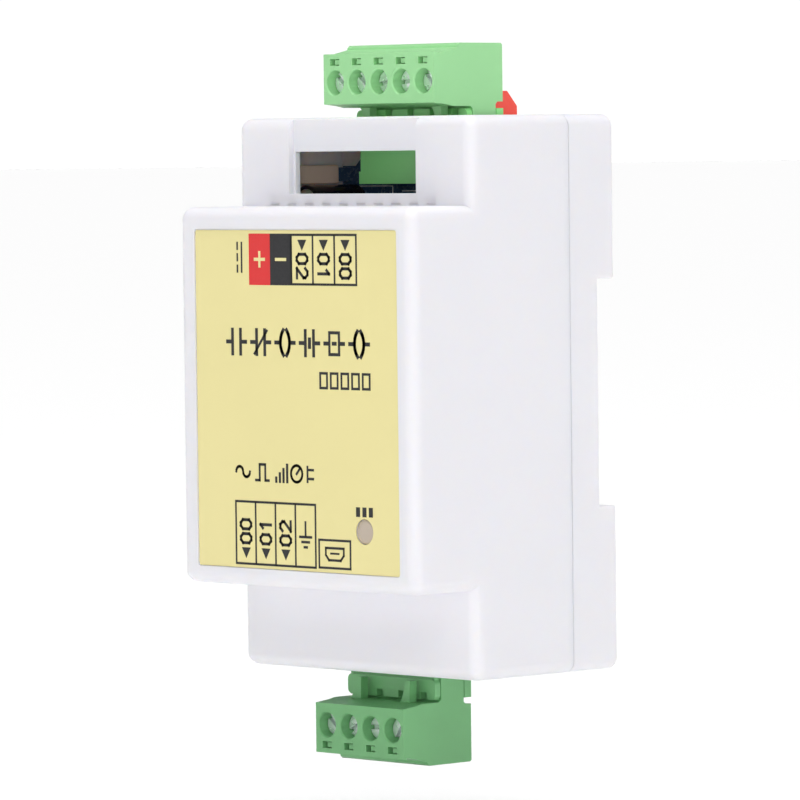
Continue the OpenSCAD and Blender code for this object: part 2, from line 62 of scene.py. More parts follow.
def make_camera():
    """A long lens from the front right, a little above the middle of the case."""
    back = Vector((
        math.sin(VIEW_AZIMUTH) * math.cos(VIEW_ELEVATION),
        -math.cos(VIEW_AZIMUTH) * math.cos(VIEW_ELEVATION),
        math.sin(VIEW_ELEVATION),
    ))
    level = Vector((math.cos(VIEW_AZIMUTH), math.sin(VIEW_AZIMUTH), 0))
    upright = back.cross(level)
    right = level * math.cos(VIEW_ROLL) + upright * math.sin(VIEW_ROLL)
    up = upright * math.cos(VIEW_ROLL) - level * math.sin(VIEW_ROLL)
    place = VIEW_TARGET + right * VIEW_OFFSET.x + up * VIEW_OFFSET.y + back * VIEW_DISTANCE
    camera = bpy.data.objects.new("camera", bpy.data.cameras.new("camera"))
    camera.data.sensor_width = 36
    camera.data.lens = VIEW_FOCAL
    camera.data.clip_end = 50
    turn = Matrix((right, up, back)).transposed().to_4x4()
    camera.matrix_world = Matrix.Translation(place * MM) @ turn
    bpy.context.scene.collection.objects.link(camera)
    bpy.context.scene.camera = camera


# ------------------------------------------------------------------ mesh tools

def link(name, bm):
    """A new object from a bmesh in millimetres, with its normals facing out."""
    bmesh.ops.recalc_face_normals(bm, faces=bm.faces)
    mesh = bpy.data.meshes.new(name)
    bm.to_mesh(mesh)
    bm.free()
    obj = bpy.data.objects.new(name, mesh)
    bpy.context.scene.collection.objects.link(obj)
    return obj


def add_box(bm, low, high):
    """Adds a box between two corners."""
    corners = [bm.verts.new((x, y, z)) for x in (low[0], high[0])
               for y in (low[1], high[1]) for z in (low[2], high[2])]
    for face in ((0, 1, 3, 2), (4, 6, 7, 5), (0, 4, 5, 1), (2, 3, 7, 6), (0, 2, 6, 4), (1, 5, 7, 3)):
        bm.faces.new([corners[i] for i in face])


def box(low, high, name="box"):
    bm = bmesh.new()
    add_box(bm, low, high)
    return link(name, bm)


def add_prism(bm, outline, start, end, place):
    """Adds an outline swept from start to end; place maps (u, v, distance) to a point."""
    rings = [[bm.verts.new(place(u, v, d)) for u, v in outline] for d in (start, end)]
    count = len(outline)
    for i in range(count):
        j = (i + 1) % count
        bm.faces.new((rings[0][i], rings[0][j], rings[1][j], rings[1][i]))
    bm.faces.new(rings[0])
    bm.faces.new(rings[1][::-1])


def along_x(u, v, d):
    return (d, u, v)


def along_y(u, v, d):
    return (u, d, v)


def prism(outline, start, end, place, name="prism"):
    bm = bmesh.new()
    add_prism(bm, outline, start, end, place)
    return link(name, bm)


def circle(x, y, radius, count=48, turn=0.0):
    step = 2 * math.pi / count
    return [(x + radius * math.cos(i * step + turn), y + radius * math.sin(i * step + turn))
            for i in range(count)]


def cone(bm, x, z, radius, end_radius, start, end, count=48):
    """Adds a plain taper along the depth."""
    rings = [[bm.verts.new((u, y, v)) for u, v in circle(x, z, r, count)]
             for y, r in ((start, radius), (end, end_radius))]
    for i in range(count):
        j = (i + 1) % count
        bm.faces.new((rings[0][i], rings[0][j], rings[1][j], rings[1][i]))
    bm.faces.new(rings[0])
    bm.faces.new(rings[1][::-1])


def rounded_rectangle(x0, y0, x1, y1, r, steps=6):
    """Outline of a rectangle with round corners."""
    points = []
    for cx, cy, start in ((x1 - r, y0 + r, -90), (x1 - r, y1 - r, 0), (x0 + r, y1 - r, 90),
                          (x0 + r, y0 + r, 180)):
        for i in range(steps + 1):
            a = math.radians(start + 90 * i / steps)
            points.append((cx + r * math.cos(a), cy + r * math.sin(a)))
    return points


def bake(obj):
    """Applies every modifier."""
    graph = bpy.context.evaluated_depsgraph_get()
    mesh = bpy.data.meshes.new_from_object(obj.evaluated_get(graph))
    old = obj.data
    obj.modifiers.clear()
    obj.data = mesh
    bpy.data.meshes.remove(old)
    return obj


def boolean(target, tools, operation="DIFFERENCE"):
    for tool in tools:
        modifier = target.modifiers.new("boolean", "BOOLEAN")
        modifier.operation = operation
        modifier.object = tool
        modifier.solver = "EXACT"
        bake(target)
        bpy.data.objects.remove(tool)
    return target


def soften(obj, width, segments=2, angle=35):
    """Rounds every edge sharper than angle by width, in millimetres."""
    modifier = obj.modifiers.new("soften", "BEVEL")
    modifier.width = width
    modifier.segments = segments
    modifier.limit_method = "ANGLE"
    modifier.angle_limit = math.radians(angle)
    modifier.miter_outer = "MITER_ARC"
    return bake(obj)


def bevel_edges(obj, chosen, width, segments=8):
    """Rounds the edges that chosen(edge) picks."""
    bm = bmesh.new()
    bm.from_mesh(obj.data)
    edges = [e for e in bm.edges if chosen(e)]
    bmesh.ops.bevel(bm, geom=edges, offset=width, segments=segments, profile=0.5, affect="EDGES",
                    clamp_overlap=True)
    bm.to_mesh(obj.data)
    bm.free()
    return obj


def finish_piece(obj, body, material, stands_for=(), smooth_angle=40, offset=None):
    """Scales a piece to metres, shades it, and ties it to the frame."""
    if offset:
        obj.data.transform(offset)
    obj.data.transform(Matrix.Scale(MM, 4))
    bm = bmesh.new()
    bm.from_mesh(obj.data)
    bmesh.ops.remove_doubles(bm, verts=bm.verts, dist=2e-7)
    bmesh.ops.dissolve_degenerate(bm, edges=bm.edges, dist=1e-7)
    bm.to_mesh(obj.data)
    bm.free()
    obj.data.shade_smooth()
    obj.data.set_sharp_from_angle(angle=math.radians(smooth_angle))
    weighted = obj.modifiers.new("weighted normals", "WEIGHTED_NORMAL")
    weighted.keep_sharp = True
    obj.data.materials.clear()
    obj.data.materials.append(material)
    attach(obj, body)
    if stands_for:
        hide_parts(*stands_for)
    return obj


# ------------------------------------------------------------------ sizes from the frame

def corners(node):
    """Lowest and highest corner of a CAD node, in millimetres."""
    low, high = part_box(node)
    return low / MM, high / MM


cover_low, cover_high = corners("front_cover")
base_high = corners("rear_base")[1]
label_low, label_high = corners("label_overlay")
board_low = corners("main_board")[0]
top_low = corners("top_plug_body")[0]
bottom_low = corners("bottom_plug_body")[0]

HALF_W = cover_high.x
HALF_H = cover_high.z
NOSE_Y = cover_low.y
SEAM_Y = cover_high.y + 0.15
BACK_Y = base_high.y
BOARD_Y = board_low.y
PLUG_Y = top_low.y

# sizes that the CAD source also holds
WALL = 2.0
EDGE_R = 2.0
LUG_R = 1.0
SEAM_GAP = 0.15
SHOULDER_Y = NOSE_Y + 12.95
NOSE_HALF_H = 29.95
SLOT_HALF_H = 18.0
LABEL_POCKET = 0.5
RECESS_HALF_W = 14.6
RECESS_DEPTH = 1.0
WINDOW_INSET = 0.45
WINDOW_SILL = 31.9
WINDOW_H = 6.7
VENT_COUNT = 10
VENT_PITCH = 4.0
VENT_LEN = 4.5
VENT_NICK_H = 0.4
VENT_NICK_D = 0.08
LIGHT_X = 15.4
LIGHT_Z = -20.4
LIGHT_R = 2.0
LATCH_HALF_W = 5.45
LATCH_TOP = HALF_H + 4.0
FLANGE_W = 1.5
USB_X = 10.6
USB_HALF_W = 5.2
PITCH = 5.08
TOP_POLES = 5
BOTTOM_POLES = 4
TOP_LEFT = top_low.x
BOTTOM_LEFT = bottom_low.x
TOP_SHOULDER = HALF_H + 2.1
BOTTOM_SHOULDER = -HALF_H - 6.05
PLUG_D = 15.1
PLUG_H = 8.0
UNDER_H = -0.58
SCREW_H = 3.45
HOLE_R = 1.95
NOSE_START = 8.5
NOSE_END = 13.5
NOSE_LEN = 8.0
POST_INSET = 4.5
POST_START = 4.9
POST_END = 6.45
HEADER_LEN = 11.85
HEADER_RIM = -0.95
HEADER_LIP = 7.15
HEADER_BACK = 13.7
CUT = 1.0
LABEL_GAP = 0.1
LABEL_CORNER = 0.4
VENT_HALF_W = 1.0
HEADER_GAP = 0.6
CHANNEL_GAP = 0.15
CHANNEL_Y = 0.6
HOOK_X = 14
HOOK_HALF_W = 4
CASE_BEVEL = 0.15
CHAMBER_HALF_W = 2.1
ENTRY_HALF_W = 1.7
PIN_SLOT_HALF_W = 1.3
PIN_SLOT_END = NOSE_END - 1.2
PROBE_RISE = 3.25
PROBE_HALF_H = 0.54
NOTCH_DEPTH = 1.15
PIN_HALF_W = 0.5


# ------------------------------------------------------------------ materials

def new_material(name):
    material = bpy.data.materials.new(name)
    material.use_nodes = True
    return material, material.node_tree.nodes, material.node_tree.links


def plastic(name, colour, roughness=0.42, grain=0.02, grain_scale=2600, mottle=0.03, specular=0.45,
            subsurface=0.0, depth=1.2):
    """Moulded plastic: fine spark texture, slow colour drift, and roughness that varies with the fine
    texture.
    """
    material, nodes, links = new_material(name)
    shader = nodes["Principled BSDF"]
    shader.inputs["Specular IOR Level"].default_value = specular
    if subsurface:
        shader.inputs["Subsurface Weight"].default_value = subsurface
        shader.inputs["Subsurface Radius"].default_value = (1.0, 0.8, 0.6)
        shader.inputs["Subsurface Scale"].default_value = depth * MM
    place = nodes.new("ShaderNodeTexCoord")
    fine = nodes.new("ShaderNodeTexNoise")
    fine.inputs["Scale"].default_value = grain_scale
    fine.inputs["Detail"].default_value = 3
    slow = nodes.new("ShaderNodeTexNoise")
    slow.inputs["Scale"].default_value = 55
    slow.inputs["Detail"].default_value = 4
    for noise in (fine, slow):
        links.new(place.outputs["Object"], noise.inputs["Vector"])
    tint = nodes.new("ShaderNodeValToRGB")
    tint.color_ramp.elements[0].position = 0.3
    tint.color_ramp.elements[1].position = 0.7
    tint.color_ramp.elements[0].color = [c * (1 - mottle) for c in colour] + [1]
    tint.color_ramp.elements[1].color = [min(1, c * (1 + mottle)) for c in colour] + [1]
    links.new(slow.outputs["Fac"], tint.inputs["Fac"])
    links.new(tint.outputs["Color"], shader.inputs["Base Color"])
    sheen = nodes.new("ShaderNodeMapRange")
    sheen.inputs["From Min"].default_value = 0.3
    sheen.inputs["From Max"].default_value = 0.7
    sheen.inputs["To Min"].default_value = roughness - 0.05
    sheen.inputs["To Max"].default_value = roughness + 0.06
    links.new(fine.outputs["Fac"], sheen.inputs["Value"])
    links.new(sheen.outputs["Result"], shader.inputs["Roughness"])
    bump = nodes.new("ShaderNodeBump")
    bump.inputs["Strength"].default_value = 0.6
    bump.inputs["Distance"].default_value = grain * MM
    links.new(fine.outputs["Fac"], bump.inputs["Height"])
    links.new(bump.outputs["Normal"], shader.inputs["Normal"])
    return material


def metal(name, colour, roughness=0.3, scratch=0.02, stretch=(1, 1, 14), tarnish=0.12, metallic=1.0):
    """Plated metal: fine drawn scratches and patchy, duller spots."""
    material, nodes, links = new_material(name)
    shader = nodes["Principled BSDF"]
    shader.inputs["Metallic"].default_value = metallic
    place = nodes.new("ShaderNodeTexCoord")
    squeeze = nodes.new("ShaderNodeMapping")
    squeeze.inputs["Scale"].default_value = stretch
    links.new(place.outputs["Object"], squeeze.inputs["Vector"])
    lines = nodes.new("ShaderNodeTexNoise")
    lines.inputs["Scale"].default_value = 900
    lines.inputs["Detail"].default_value = 5
    links.new(squeeze.outputs["Vector"], lines.inputs["Vector"])
    spots = nodes.new("ShaderNodeTexNoise")
    spots.inputs["Scale"].default_value = 420
    spots.inputs["Detail"].default_value = 4
    links.new(place.outputs["Object"], spots.inputs["Vector"])
    tint = nodes.new("ShaderNodeValToRGB")
    tint.color_ramp.elements[0].position = 0.35
    tint.color_ramp.elements[1].position = 0.65
    tint.color_ramp.elements[0].color = [c * (1 - tarnish) for c in colour] + [1]
    tint.color_ramp.elements[1].color = list(colour) + [1]
    links.new(spots.outputs["Fac"], tint.inputs["Fac"])
    links.new(tint.outputs["Color"], shader.inputs["Base Color"])
    dull = nodes.new("ShaderNodeMapRange")
    dull.inputs["From Min"].default_value = 0.3
    dull.inputs["From Max"].default_value = 0.7
    dull.inputs["To Min"].default_value = roughness - 0.08
    dull.inputs["To Max"].default_value = roughness + 0.12
    links.new(spots.outputs["Fac"], dull.inputs["Value"])
    links.new(dull.outputs["Result"], shader.inputs["Roughness"])
    bump = nodes.new("ShaderNodeBump")
    bump.inputs["Strength"].default_value = 0.5
    bump.inputs["Distance"].default_value = scratch * MM
    links.new(lines.outputs["Fac"], bump.inputs["Height"])
    links.new(bump.outputs["Normal"], shader.inputs["Normal"])
    return material


CASE_WHITE = plastic("case_white", (0.84, 0.83, 0.872), roughness=0.4, grain=0.012, mottle=0.006,
                     subsurface=0.4, depth=2.2)
LATCH_RED = plastic("latch_red", (0.99, 0.085, 0.06), roughness=0.34, grain=0.008, mottle=0.03,
                    subsurface=0.1)
LABEL_YELLOW = plastic("label_yellow", (0.85, 0.765, 0.355), roughness=0.38, grain=0.01, grain_scale=1800,
                       mottle=0.008)
PLUG_GREEN = plastic("plug_green", (0.35, 0.73, 0.34), roughness=0.36, grain=0.012, mottle=0.02,
                     subsurface=0.08)
# painted shade: the lower plug and header are the same green plastic as the upper plug, darkened here for the
# case's shadow over them
PAINTED_SHADE_GREEN = plastic("lower_green_painted_shade", (0.18, 0.475, 0.195), roughness=0.38, grain=0.012, mottle=0.03,
                      subsurface=0.06)
# painted light: the upper header is the same green plastic as the plug, brightened here to stand in for light
# under the plug and behind the window
PAINTED_LIGHT_HEADER_GREEN = plastic("header_green", (0.32, 0.84, 0.30), roughness=0.34, grain=0.012, mottle=0.02,
                       subsurface=0.05)
PRINT_BLACK = plastic("print_black", (0.018, 0.018, 0.02), roughness=0.5, grain=0.004, mottle=0.05)
PRINT_RED = plastic("print_red", (0.75, 0.03, 0.03), roughness=0.48, grain=0.004, mottle=0.03)
FROSTED = plastic("frosted", (0.54, 0.46, 0.38), roughness=0.45, grain=0.01, mottle=0.02, subsurface=0.3)
BOARD_NAVY = plastic("board_navy", (0.035, 0.075, 0.15), roughness=0.25, grain=0.006, grain_scale=1500,
                     mottle=0.1)
CHIP_BLACK = plastic("chip_black", (0.02, 0.02, 0.021), roughness=0.5, grain=0.008, mottle=0.08)
SLEEVE_BLACK = plastic("sleeve_black", (0.012, 0.012, 0.014), roughness=0.16, grain=0.004, mottle=0.1)
CAP_BEIGE = plastic("cap_beige", (0.94, 0.70, 0.58), roughness=0.45, grain=0.01, mottle=0.06)
SILK_WHITE = plastic("silk_white", (0.75, 0.76, 0.78), roughness=0.5, grain=0.004, mottle=0.02)
ZINC = metal("zinc", (0.93, 0.96, 0.98), roughness=0.24, scratch=0.006, tarnish=0.08, metallic=0.62)
TIN = metal("tin", (0.80, 0.78, 0.72), roughness=0.3)


# ------------------------------------------------------------------ case

def front_cover():
    """The stepped white shell, open at the back."""
    seam = SEAM_Y - SEAM_GAP
    profile = [
        (NOSE_Y, -NOSE_HALF_H), (NOSE_Y, NOSE_HALF_H), (SHOULDER_Y, NOSE_HALF_H), (SHOULDER_Y, HALF_H),
        (seam, HALF_H), (seam, -HALF_H), (SHOULDER_Y, -HALF_H), (SHOULDER_Y, -NOSE_HALF_H),
    ]
    shell = prism(profile, -HALF_W, HALF_W, along_x, "front_cover_shell")

    def outer(edge):
        a, b = (v.co for v in edge.verts)
        at_seam = abs(a.y - seam) < 1e-4 and abs(b.y - seam) < 1e-4
        inner_corner = all(abs(c.y - SHOULDER_Y) < 1e-4 and abs(abs(c.z) - NOSE_HALF_H) < 1e-4
                           for c in (a, b))
        return not at_seam and not inner_corner

    bevel_edges(shell, outer, EDGE_R, 10)
    inside = HALF_W - WALL
    bay = HALF_H - WALL
    boolean(shell, [
        box((-inside, NOSE_Y + WALL, -NOSE_HALF_H + WALL), (inside, seam + 5, NOSE_HALF_H - WALL)),
        box((-inside, SHOULDER_Y + WALL, -bay), (inside, seam + 5, bay)),
    ])
    label_mid = (label_low + label_high) / 2
    label_half = (label_high - label_low) / 2
    pocket = rounded_rectangle(
        label_mid.x - label_half.x - LABEL_GAP, label_mid.z - label_half.z - LABEL_GAP,
        label_mid.x + label_half.x + LABEL_GAP, label_mid.z + label_half.z + LABEL_GAP,
        LABEL_CORNER + LABEL_GAP)
    boolean(shell, [
        prism(pocket, NOSE_Y - CUT, NOSE_Y + LABEL_POCKET, along_y),
        prism(circle(LIGHT_X, LIGHT_Z, LIGHT_R), NOSE_Y - CUT, NOSE_Y + 2 * WALL, along_y),
        box((-RECESS_HALF_W, SHOULDER_Y - CUT, WINDOW_SILL),
            (RECESS_HALF_W, SHOULDER_Y + RECESS_DEPTH, HALF_H + CUT)),
    ])
    window = rounded_rectangle(-RECESS_HALF_W + WINDOW_INSET, WINDOW_SILL,
                               RECESS_HALF_W - WINDOW_INSET, WINDOW_SILL + WINDOW_H, 0.3, 3)
    boolean(shell, [prism(window, SHOULDER_Y - CUT, SHOULDER_Y + 2 * WALL, along_y)])
    slots = bmesh.new()
    nicks = bmesh.new()
    for i in range(VENT_COUNT):
        x = (i - (VENT_COUNT - 1) / 2) * VENT_PITCH
        left, right = x - VENT_HALF_W, x + VENT_HALF_W
        add_box(slots, (left, SHOULDER_Y - VENT_LEN, NOSE_HALF_H - WALL - CUT),
                (right, SHOULDER_Y, NOSE_HALF_H + 0.1))
        add_box(nicks, (left, SHOULDER_Y - CUT, NOSE_HALF_H),
                (right, SHOULDER_Y + VENT_NICK_D, NOSE_HALF_H + VENT_NICK_H))
    boolean(shell, [link("slots", slots), link("nicks", nicks)])
    for left, poles, side in ((TOP_LEFT, TOP_POLES, 1), (BOTTOM_LEFT, BOTTOM_POLES, -1)):
        low, high = sorted((side * (HALF_H - 5), side * (HALF_H + CUT)))
        boolean(shell, [box((left - HEADER_GAP, PLUG_Y + POST_START - HEADER_GAP, low),
                            (left + poles * PITCH + HEADER_GAP, seam + CUT, high))])
    boolean(shell, [box((USB_X - USB_HALF_W, BOARD_Y - 5, -HALF_H - CUT),
                        (USB_X + USB_HALF_W, seam + CUT, -HALF_H + WALL + CUT))])
    soften(shell, CASE_BEVEL, 2, 50)
    finish_piece(shell, "case", CASE_WHITE, ["front_cover"])


def rear_base():
    """The white base that carries the rail slot, with the latch's channel down its upper lug."""
    profile = [
        (SEAM_Y, -HALF_H), (SEAM_Y, HALF_H), (BACK_Y, HALF_H), (BACK_Y, SLOT_HALF_H), (0, SLOT_HALF_H),
        (0, -SLOT_HALF_H), (BACK_Y, -SLOT_HALF_H), (BACK_Y, -HALF_H),
    ]
    base = prism(profile, -HALF_W, HALF_W, along_x, "rear_base_shell")

    def long_edge(edge):
        a, b = (v.co for v in edge.verts)
        outside = all(abs(c.z) > HALF_H - 0.01 for c in (a, b))
        at_seam = abs(a.y - SEAM_Y) < 1e-4 and abs(b.y - SEAM_Y) < 1e-4
        along_depth = abs(a.x - b.x) < 1e-4 and abs(a.z - b.z) < 1e-4
        return not at_seam and outside and along_depth

    bevel_edges(base, long_edge, EDGE_R, 10)

    def back_edge(edge):
        a, b = (v.co for v in edge.verts)
        return a.y > BACK_Y - 0.01 and b.y > BACK_Y - 0.01

    bevel_edges(base, back_edge, LUG_R * 0.8, 5)
    inside = HALF_W - WALL
    bay = HALF_H - WALL
    boolean(base, [box((-inside, SEAM_Y - 1, -bay), (inside, -WALL, bay))])
    boolean(base, [box((-inside, -WALL - 1, SLOT_HALF_H + WALL), (inside, BACK_Y - WALL, bay)),
                   box((-inside, -WALL - 1, -bay), (inside, BACK_Y - WALL, -SLOT_HALF_H - WALL))])
    housing = LATCH_HALF_W + 2 * FLANGE_W
    channel = LATCH_HALF_W + CHANNEL_GAP
    boolean(base, [box((-housing, -WALL, SLOT_HALF_H + 0.5), (housing, BACK_Y - 1, bay + 0.5))], "UNION")
    boolean(base, [box((-channel, CHANNEL_Y, SLOT_HALF_H - CUT), (channel, BACK_Y + CUT, HALF_H + CUT))])
    boolean(base, [box((-channel - FLANGE_W, CHANNEL_Y, 20.05), (channel + FLANGE_W, 2.1, HALF_H - 1.65))])
    for x in (-HOOK_X, HOOK_X):
        hook = prism([(1.4, -SLOT_HALF_H - 0.5), (3.4, -SLOT_HALF_H - 0.5), (3.4, -SLOT_HALF_H + 0.9),
                      (2.2, -SLOT_HALF_H + 1.9), (1.4, -SLOT_HALF_H + 1.9)],
                     x - HOOK_HALF_W, x + HOOK_HALF_W, along_x)
        boolean(base, [hook], "UNION")
    soften(base, CASE_BEVEL, 2, 50)
    finish_piece(base, "case", CASE_WHITE, ["rear_base"])


def din_latch():
    """The red slider, with its sloped nose below and a handle with a finger groove above the case."""
    half = LATCH_HALF_W
    top = LATCH_TOP
    handle = prism([(-1, HALF_H + 0.2), (BACK_Y, HALF_H + 0.2), (BACK_Y, top - 2.45), (BACK_Y - 2.2, top),
                    (-1, top)], -half, half, along_x, "din_latch_slider")
    boolean(handle, [prism(circle(-3.4, HALF_H + 2.6, 3), -half + 1.2, half - 1.2, along_x)])
    blade = prism([(0.75, SLOT_HALF_H + 1.2), (1.5, SLOT_HALF_H - 1.9), (BACK_Y - 0.1, SLOT_HALF_H - 0.4),
                   (BACK_Y - 0.1, HALF_H + 0.3), (0.75, HALF_H + 0.3)], -half, half, along_x)
    boolean(handle, [blade], "UNION")
    boolean(handle, [box((-half - FLANGE_W, 0.75, 20.2), (half + FLANGE_W, 1.95, 39.0))], "UNION")
    boolean(handle, [box((-2.2, BACK_Y - 1.5, SLOT_HALF_H + 4), (2.2, BACK_Y + 1, HALF_H - 8))])
    soften(handle, 0.25, 3, 40)
    finish_piece(handle, "latch", LATCH_RED, ["din_latch"])


# ------------------------------------------------------------------ label

def label_overlay():
    low, high = label_low, label_high
    outline = rounded_rectangle(low.x, low.z, high.x, high.z, LABEL_CORNER)
    film = prism(outline, low.y, high.y, along_y, "label_film")
    boolean(film, [prism(circle(LIGHT_X, LIGHT_Z, LIGHT_R), low.y - 1, high.y + 1, along_y)])
    soften(film, 0.03, 2, 50)
    finish_piece(film, "case", LABEL_YELLOW, ["label_overlay"])


PRINT_T = 0.025
DIGITS = {
    "0": [[(0.0, 0.2), (0.2, 0.0), (0.4, 0.0), (0.6, 0.2), (0.6, 0.8), (0.4, 1.0), (0.2, 1.0), (0.0, 0.8),
           (0.0, 0.2)]],
    "1": [[(0.12, 0.78), (0.34, 1.0), (0.34, 0.0)]],
    "2": [[(0.0, 0.8), (0.2, 1.0), (0.42, 1.0), (0.6, 0.8), (0.6, 0.62), (0.0, 0.0), (0.62, 0.0)]],
}


class Print:
    """Flat marks on the label, in its own plane: u to the right, v up, in millimetres."""

    def __init__(self, lift=0.0):
        self.bm = bmesh.new()
        self.y0 = label_low.y - PRINT_T - lift
        self.y1 = label_low.y + 0.01

    def fill(self, outline):
        add_prism(self.bm, outline, self.y0, self.y1, along_y)

    def bar(self, u0, v0, u1, v1):
        self.fill([(u0, v0), (u1, v0), (u1, v1), (u0, v1)])

    def stroke(self, points, width):
        for (u0, v0), (u1, v1) in zip(points, points[1:]):
            run = math.hypot(u1 - u0, v1 - v0)
            du, dv = (u1 - u0) / run * width / 2, (v1 - v0) / run * width / 2
            self.fill([(u0 - du + dv, v0 - dv - du), (u1 + du + dv, v1 + dv - du),
                       (u1 + du - dv, v1 + dv + du), (u0 - du - dv, v0 - dv + du)])

    def frame(self, u0, v0, u1, v1, width):
        half = width / 2
        self.bar(u0 - half, v0 - half, u1 + half, v0 + half)
        self.bar(u0 - half, v1 - half, u1 + half, v1 + half)
        self.bar(u0 - half, v0 + half, u0 + half, v1 - half)
        self.bar(u1 - half, v0 + half, u1 + half, v1 - half)

    def ring(self, u, v, radius, width, start=0, sweep=360, steps=20):
        points = [(u + radius * math.cos(math.radians(start + sweep * i / steps)),
                   v + radius * math.sin(math.radians(start + sweep * i / steps))) for i in range(steps + 1)]
        self.stroke(points, width)

    def number(self, text, u, v, size, width, way=1):
        """Digits centred on (u, v) that read upwards, or downwards when way is -1."""
        advance = 0.92 * size
        length = advance * (len(text) - 1) + 0.6 * size
        for i, digit in enumerate(text):
            for line in DIGITS[digit]:
                self.stroke([(u + way * size * (0.5 - y), v + way * (i * advance + x * size - length / 2))
                             for x, y in line], width)

    def arrow(self, u, v, size):
        """A solid arrowhead that points down, or up when size is negative."""
        half = abs(size) * 0.6
        self.fill([(u - half, v + size / 2), (u + half, v + size / 2), (u, v - size / 2)])

    def done(self, name, material):
        finish_piece(link(name, self.bm), "case", material)


def label_print():
    """Plain marks: two terminal tables, a row of ladder symbols, and small pictograms."""
    black, red, pale = Print(), Print(), Print(0.01)
    fine, bold = 0.36, 0.62

    # upper terminal table: two supply cells and three numbered ones
    left, right, low, high = -10.4, 14.3, 17.7, 25.8
    cell = (right - left) / TOP_POLES
    mid = (low + high) / 2
    red.bar(left, low, left + cell, high)
    black.bar(left + cell, low, left + 2 * cell, high)
    for i in range(2):
        u = left + (i + 0.5) * cell
        pale.bar(u - 1.3, mid - 0.25, u + 1.3, mid + 0.25)
    u = left + 0.5 * cell
    pale.bar(u - 0.25, mid + 0.25, u + 0.25, mid + 1.3)
    pale.bar(u - 0.25, mid - 1.3, u + 0.25, mid - 0.25)
    black.frame(left + 2 * cell, low + fine / 2, right, high - fine / 2, fine)
    for i, text in enumerate(("02", "01", "00")):
        u = left + (i + 2) * cell
        if i:
            black.bar(u - fine / 2, low, u + fine / 2, high)
        black.number(text, u + cell / 2, mid - 1.0, 2.4, 0.48, -1)
        black.arrow(u + cell / 2, high - 1.8, 1.7)
    # direct current sign beside it
    black.bar(-12.3, 19.6, -11.95, 24.5)
    for v in (19.6, 21.4, 23.2):
        black.bar(-13.3, v, -12.95, v + 1.3)

    # row of ladder symbols
    low, high, step = 6.5, 10.9, 5.66
    mid = (low + high) / 2
    for i in range(6):
        u = -16.0 + i * step
        black.bar(u, mid - bold / 2, u + 1.2, mid + bold / 2)
        black.bar(u + 3.7, mid - bold / 2, u + 4.9, mid + bold / 2)
        if i in (0, 1, 3):
            black.bar(u + 1.2, low, u + 1.2 + bold, high)
            black.bar(u + 3.7 - bold, low, u + 3.7, high)
        if i == 1:
            black.stroke([(u + 1.0, low + 0.4), (u + 3.9, high - 0.4)], bold * 0.7)
        if i in (2, 5):
            black.ring(u + 4.6, mid, 3.2, bold, 142, 76, 8)
            black.ring(u + 0.3, mid, 3.2, bold, -38, 76, 8)
        if i == 3:
            black.bar(u + 2.1, mid - 0.9, u + 2.8, mid + 0.9)
        if i == 4:
            black.frame(u + 1.35, low + 0.5, u + 3.55, high - 0.5, bold * 0.8)
            black.bar(u + 1.9, mid - 0.3, u + 3.0, mid + 0.3)
    for i in range(5):
        u = 5.6 + i * 2.42
        black.frame(u + 0.2, 1.75, u + 1.75, 4.05, 0.4)

    # small pictograms: wave, pulse, bars, dial and plug
    low, high = -13.4, -10.3
    mid = (low + high) / 2
    black.ring(-13.2, mid, 0.8, 0.42, 180, -180, 8)
    black.ring(-11.6, mid, 0.8, 0.42, 180, 180, 8)
    black.stroke([(-9.4, low + 0.3), (-8.5, low + 0.3), (-8.5, high - 0.3), (-7.2, high - 0.3),
                  (-7.2, low + 0.3), (-6.4, low + 0.3)], 0.42)
    for i in range(4):
        black.bar(-4.9 + i * 0.85, low, -4.4 + i * 0.85, low + 1.0 + i * 0.7)
    black.ring(0.1, mid, 1.3, 0.42)
    black.stroke([(0.1, mid), (0.8, mid + 0.8)], 0.42)
    black.bar(2.4, low + 0.2, 2.8, high - 0.2)
    black.bar(2.8, mid + 0.5, 4.1, mid + 0.9)
    black.bar(2.8, mid - 0.9, 4.1, mid - 0.5)

    # lower terminal table: three numbered cells and the common one
    left, right, low, high = -14.2, 4.3, -26.6, -16.4
    cell = (right - left) / BOTTOM_POLES
    mid = (low + high) / 2
    black.frame(left, low + fine / 2, right, high - fine / 2, fine)
    for i in range(1, BOTTOM_POLES):
        black.bar(left + i * cell - fine / 2, low, left + i * cell + fine / 2, high)
    for i, text in enumerate(("00", "01", "02")):
        black.number(text, left + (i + 0.5) * cell, mid + 0.2, 2.4, 0.48)
        black.arrow(left + (i + 0.5) * cell, low + 1.9, 1.7)
    u = left + 3.5 * cell
    black.bar(u - 0.2, mid - 0.2, u + 0.2, mid + 2.3)
    for i, half in enumerate((1.5, 1.0, 0.5)):
        black.bar(u - half, mid - 0.4 - i * 0.8, u + half, mid - i * 0.8)

    # port box with an outline of the socket, and a sign above the light
    black.frame(4.9 + fine / 2, -26.5 + fine / 2, 12.4 - fine / 2, -21.8 - fine / 2, fine)
    black.stroke([(6.6, -23.2), (10.7, -23.2), (10.7, -24.3), (10.0, -25.1), (7.3, -25.1), (6.6, -24.3),
                  (6.6, -23.2)], 0.38)
    black.bar(7.6, -24.2, 9.7, -23.9)
    for i in range(3):
        black.bar(13.6 + i * 1.45, -18.1, 14.5 + i * 1.45, -16.6)

    black.done("label_marks", PRINT_BLACK)
    red.done("label_supply_cell", PRINT_RED)
    pale.done("label_supply_signs", LABEL_YELLOW)


